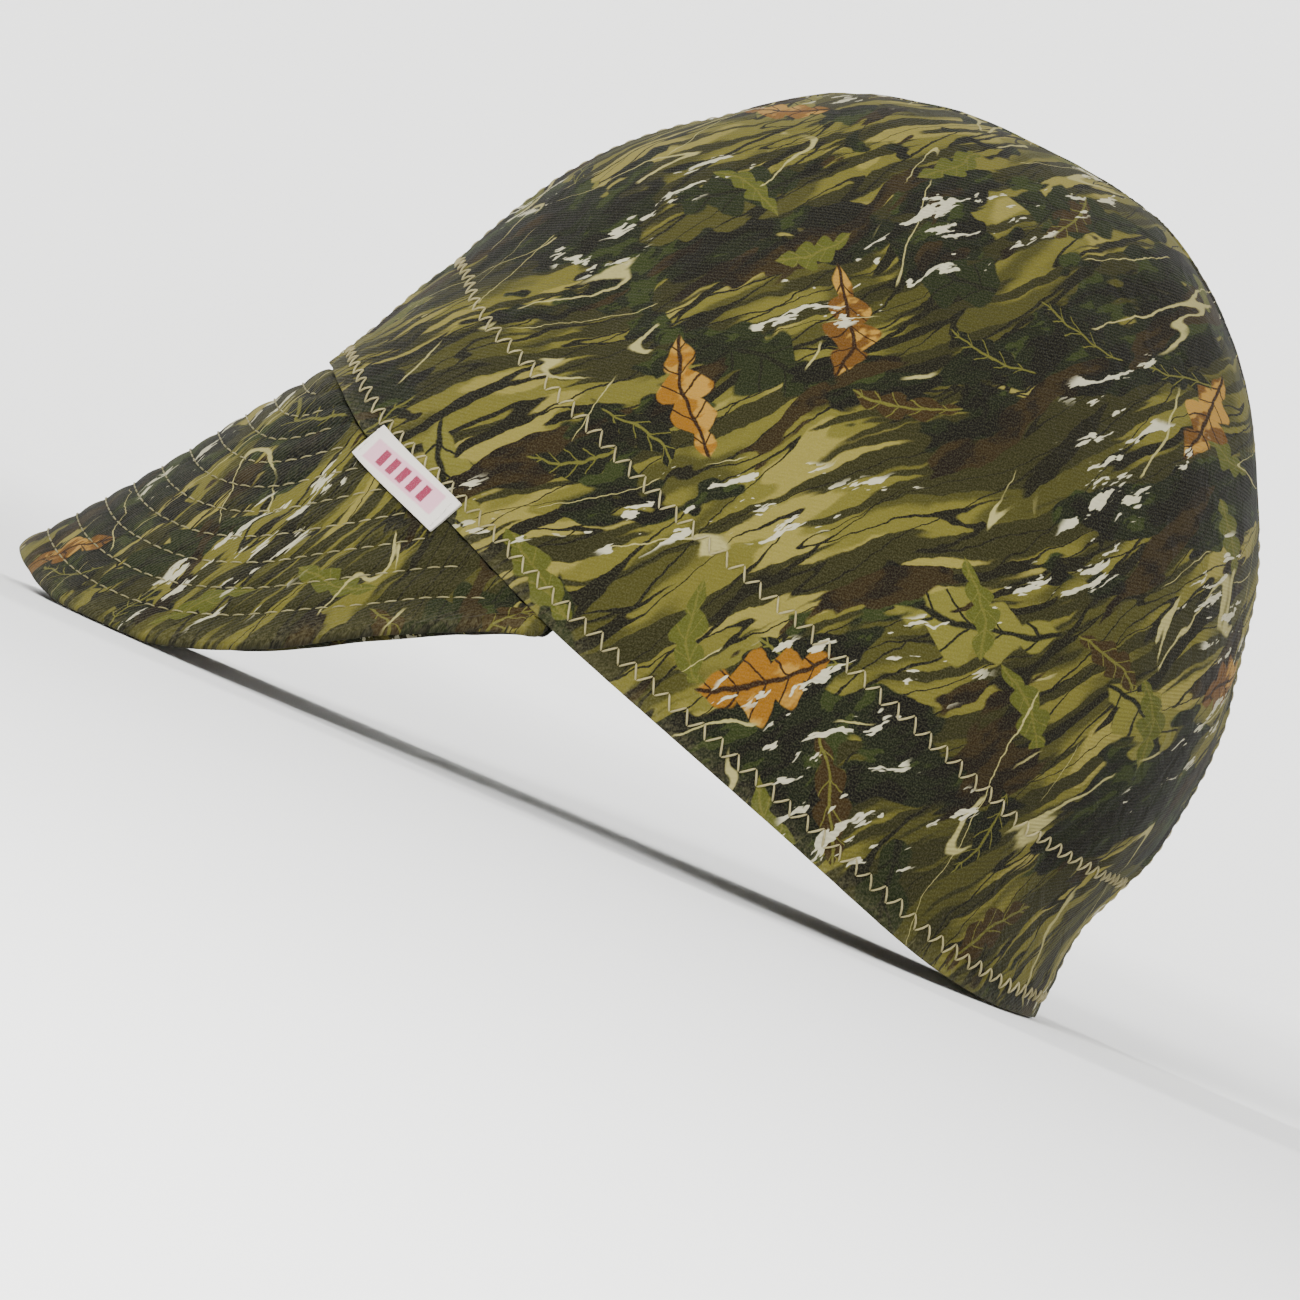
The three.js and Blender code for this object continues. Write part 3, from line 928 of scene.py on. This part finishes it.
def weave_height(tree, spot):
    """Twill: raised cords running diagonally, a little uneven."""
    yarn = speckle(tree, spot, 26.0, 1.0)
    slanted = add(tree, "ShaderNodeSeparateXYZ", {"Vector": place_on(tree, spot, (0, 0, 0), TWILL_ANGLE)})
    wobble = calc(tree, "MULTIPLY", yarn, 1.8)
    turns = calc(tree, "MULTIPLY_ADD", slanted.outputs["X"], math.tau / TWILL_PITCH, wobble)
    return calc(tree, "MULTIPLY_ADD", calc(tree, "SINE", turns), 0.75, yarn)


def cloth_material(name, grain=1.0, dark_share=0.518, back=False):
    material, tree, shader = new_material(name)
    spot = add(tree, "ShaderNodeUVMap", uv_map="cloth").outputs["UV"]
    colour = camouflage(tree, spot, grain, dark_share)
    if back:
        colour = over(tree, BACK_SHARE, colour, BACK_OF_PRINT)
    rubbed = add(tree, "ShaderNodeAttribute", attribute_name="wear").outputs["Fac"]
    patchy = cut(tree, speckle(tree, spot, 12.0, 2.0), 0.35, 0.75, 0.15, 1.0)
    rubbed = calc(tree, "MULTIPLY", calc(tree, "MULTIPLY", rubbed, patchy), RUBBED_SHARE)
    colour = over(tree, rubbed, colour, RUBBED)
    fluff = speckle(tree, spot, 30.0, 2.0)
    colour = over(tree, cut(tree, fluff, 0.35, 0.75, 0.0, FLUFF_SHARE), colour, FLUFF)
    height = weave_height(tree, spot)
    crinkle = speckle(tree, spot, 1.7, 2.0, 0.5, 0.6)
    weave = add(tree, "ShaderNodeBump", {"Height": height, "Strength": 0.30, "Distance": 0.4 * MM})
    bump = add(tree, "ShaderNodeBump", {"Height": crinkle, "Strength": 0.35, "Distance": 2.2 * MM,
               "Normal": weave.outputs["Normal"]})
    tree.links.new(colour, shader.inputs["Base Color"])
    tree.links.new(bump.outputs["Normal"], shader.inputs["Normal"])
    tree.links.new(cut(tree, height, -0.3, 1.3, 0.97, 0.82), shader.inputs["Roughness"])
    shader.inputs["Specular IOR Level"].default_value = 0.09
    shader.inputs["Sheen Weight"].default_value = 0.02
    shader.inputs["Sheen Roughness"].default_value = 0.6
    return material


def dress(piece, *materials):
    piece.data.materials.clear()
    for material in materials:
        piece.data.materials.append(material)


crown_cotton = cloth_material("printed_cotton")
cotton_back = cloth_material("printed_cotton_back", back=True)
bill_cotton = cloth_material("printed_cotton_bill", grain=1.25, dark_share=0.555)
for panel in (left_panel, right_panel):
    dress(panel, crown_cotton, cotton_back)
    for face in panel.data.polygons:
        inside = face.normal.dot(face.center - DOME_CENTRE) < 0
        face.material_index = 1 if inside else 0
dress(sweatband, crown_cotton)
dress(bill, bill_cotton)
print("materials:", [material.name for material in bpy.data.materials if material.users])

# %% [markdown]
# ## Thread
# The thread is dull tan, darker on the bill and white on the label, with the
# twist of its strands in the bump. Two tones of one colour, mixed by noise, keep
# a row of equal stitches from looking printed.

# %% Thread materials
def thread_material(name, dark, light):
    material, tree, shader = new_material(name)
    place = add(tree, "ShaderNodeTexCoord").outputs["Object"]
    tone = add(tree, "ShaderNodeTexNoise", {"Vector": place, "Scale": 160.0, "Detail": 2.0}).outputs["Fac"]
    strands = add(tree, "ShaderNodeTexWave", {"Vector": place, "Scale": 1100.0, "Distortion": 1.5})
    colour = over(tree, tone, ink(dark), ink(light))
    bump = add(tree, "ShaderNodeBump", {"Height": strands.outputs["Fac"], "Strength": 0.4,
               "Distance": 0.2 * MM})
    tree.links.new(colour, shader.inputs["Base Color"])
    tree.links.new(cut(tree, tone, 0.2, 0.8, 0.7, 0.5), shader.inputs["Roughness"])
    tree.links.new(bump.outputs["Normal"], shader.inputs["Normal"])
    shader.inputs["Specular IOR Level"].default_value = 0.3
    return material


tan_thread = thread_material("tan_thread", "6f6742", "9a9169")
for piece in (hem_stitches, band_stitches, seam_stitches):
    dress(piece, tan_thread)
dress(bill_stitches, thread_material("olive_thread", "5a5535", "827b55"))
dress(label_stitches, thread_material("white_thread", "c9c4b8", "ded9cf"))
print("five kinds of rows dressed in thread")

# %% [markdown]
# ## The woven label
# The label is a white woven tape with plain magenta bars on a pale ground and
# no lettering. Its map says how far a place is from the middle of the tape, so
# sums alone draw the field and the bars. A little noise frays their edges.

# %% Label material
BAR_STEP = 0.33          # in centimetres, as the masks of the label are
LABEL_WHITE, LABEL_PINK, LABEL_MAGENTA = ink("cfc9bf"), ink("c99aa6"), ink("7a0a34")
WEFT_SHADE = ink("b9b2a8")


def label_material():
    material, tree, shader = new_material("woven_label")
    spot = add(tree, "ShaderNodeUVMap", uv_map="cloth").outputs["UV"]
    parts = add(tree, "ShaderNodeSeparateXYZ", {"Vector": ragged(tree, spot, 14.0, 0.025)})
    along = parts.outputs["X"]
    across = calc(tree, "ABSOLUTE", parts.outputs["Y"])
    from_middle = calc(tree, "ABSOLUTE", along)
    field = calc(tree, "MULTIPLY", cut(tree, from_middle, 1.12, 1.06), cut(tree, across, 0.27, 0.22))
    bars = cut(tree, calc(tree, "COSINE", calc(tree, "MULTIPLY", along, math.tau / BAR_STEP)), -0.35, -0.05)
    bars = calc(tree, "MULTIPLY", bars, cut(tree, across, 0.19, 0.15))
    bars = calc(tree, "MULTIPLY", bars, cut(tree, from_middle, 0.84, 0.80))
    colour = over(tree, field, LABEL_WHITE, LABEL_PINK)
    colour = over(tree, bars, colour, LABEL_MAGENTA)
    weft = speckle(tree, place_on(tree, spot, (0, 0, 0), 0.0, (30, 90, 1)), 1.0, 2.0)
    colour = over(tree, cut(tree, weft, 0.5, 0.8, 0.0, 0.25), colour, WEFT_SHADE)
    bump = add(tree, "ShaderNodeBump", {"Height": weft, "Strength": 0.3, "Distance": 0.2 * MM})
    tree.links.new(colour, shader.inputs["Base Color"])
    tree.links.new(cut(tree, weft, 0.2, 0.8, 0.6, 0.45), shader.inputs["Roughness"])
    tree.links.new(bump.outputs["Normal"], shader.inputs["Normal"])
    shader.inputs["Specular IOR Level"].default_value = 0.35
    shader.inputs["Sheen Weight"].default_value = 0.1
    return material


dress(label, label_material())
print("label dressed")

# %% [markdown]
# ## A pale floor
# The floor runs back and curves up behind the cap, so that no edge shows behind
# it. It is a plane whose far edge is extruded upwards, with a wide bevel as the
# curve between floor and wall.

# %% Floor and backdrop
FLOOR_SIZE = 9.0
FLOOR_DROP = 0.4 * MM    # keeps the floor clear of the cloth that lies on it
WALL_HEIGHT = 6.0
BEND_RADIUS = 2.0
BEND_STEPS = 24


def make_floor():
    bpy.ops.mesh.primitive_plane_add(size=1, location=(0, 0, -FLOOR_DROP))
    floor = bpy.context.object
    floor.name = "studio_floor"
    floor.scale = (FLOOR_SIZE, FLOOR_SIZE, 1.0)
    bpy.ops.object.transform_apply(scale=True, location=True)
    bpy.ops.object.mode_set(mode="EDIT")
    bpy.ops.mesh.select_mode(type="EDGE")
    bpy.ops.mesh.select_all(action="DESELECT")
    bpy.ops.object.mode_set(mode="OBJECT")
    for edge in floor.data.edges:
        ends = [floor.data.vertices[corner].co.x for corner in edge.vertices]
        edge.select = max(ends) < 0
    bpy.ops.object.mode_set(mode="EDIT")
    bpy.ops.mesh.extrude_region_move(TRANSFORM_OT_translate={"value": (0, 0, WALL_HEIGHT)})
    bpy.ops.object.mode_set(mode="OBJECT")
    bend = floor.modifiers.new("bend", "BEVEL")
    bend.width = BEND_RADIUS
    bend.segments = BEND_STEPS
    bpy.ops.object.modifier_apply(modifier="bend")
    bpy.ops.object.shade_smooth()
    return floor


def floor_material():
    material, tree, shader = new_material("pale_floor")
    place = add(tree, "ShaderNodeTexCoord").outputs["Object"]
    grain = add(tree, "ShaderNodeTexNoise", {"Vector": place, "Scale": 3.0, "Detail": 2.0}).outputs["Fac"]
    tree.links.new(over(tree, grain, ink("f2f2f0"), ink("f7f7f6")), shader.inputs["Base Color"])
    shader.inputs["Roughness"].default_value = 0.9
    shader.inputs["Specular IOR Level"].default_value = 0.1
    return material


floor = make_floor()
dress(floor, floor_material())
print("floor", FLOOR_SIZE, "m wide")

# %% [markdown]
# ## Soft light
# Two large lamps beside the camera give the even light of the photograph, a
# weaker one above shapes the crown, two light the backdrop, and the sky fills
# the shadows. The sky is brightest near the horizon, where a view from the
# other side looks past the floor.

# %% Lamps and sky
def lamp(name, place, size, power, towards=AIM):
    data = bpy.data.lights.new(name, "AREA")
    data.shape = "DISK"
    data.size = size
    data.energy = power
    piece = bpy.data.objects.new(name, data)
    bpy.context.scene.collection.objects.link(piece)
    piece.location = place
    piece.rotation_euler = (towards - Vector(place)).to_track_quat("-Z", "Y").to_euler()


lamp("key", (1.7, -0.5, 0.9), size=0.7, power=58)
lamp("front_fill", (1.9, 0.5, 0.3), size=0.9, power=22)
lamp("top", (0.3, 0.0, 2.2), size=1.2, power=10)
backdrop_foot = Vector((-4.2, 0, 0.4))
for side in (-1, 1):
    lamp(f"backdrop_{side + 1}", (-1.6, side * 2.6, 2.4), size=1.4, power=210, towards=backdrop_foot)

HORIZON_LIGHT, SKY_LIGHT = 1.05, 0.22
BRIGHT_BELOW, DIM_ABOVE = 0.06, 0.20     # heights of the view direction, as shares of its length
world = bpy.data.worlds.new("sky")
bpy.context.scene.world = world
world.use_nodes = True
backlight = world.node_tree.nodes["Background"]
backlight.inputs["Color"].default_value = (1, 1, 1, 1)
heading = add(world.node_tree, "ShaderNodeTexCoord").outputs["Generated"]
height = add(world.node_tree, "ShaderNodeSeparateXYZ", {"Vector": heading}).outputs["Z"]
strength = cut(world.node_tree, calc(world.node_tree, "ABSOLUTE", height),
               BRIGHT_BELOW, DIM_ABOVE, HORIZON_LIGHT, SKY_LIGHT)
world.node_tree.links.new(strength, backlight.inputs["Strength"])

# %% [markdown]
# ## Saying what each piece is
# The cap has no moving parts, so every piece belongs to the one body. Each
# dressed piece takes the place of its plain solid, which is hidden.

# %% Declarations
for piece, node, slot in ((left_panel, "crown_panel_left", "crown_cloth"),
                          (right_panel, "crown_panel_right", "crown_cloth"),
                          (sweatband, "sweatband", "band_cloth"),
                          (bill, "bill", "bill_cloth"),
                          (label, "side_label", "label_cloth")):
    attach(piece, "root")
    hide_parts(node)
for piece, slot in ((hem_stitches, "crown_cloth"), (band_stitches, "crown_cloth"),
                    (seam_stitches, "crown_cloth"), (bill_stitches, "bill_cloth"),
                    (label_stitches, "label_cloth")):
    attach(piece, "root")
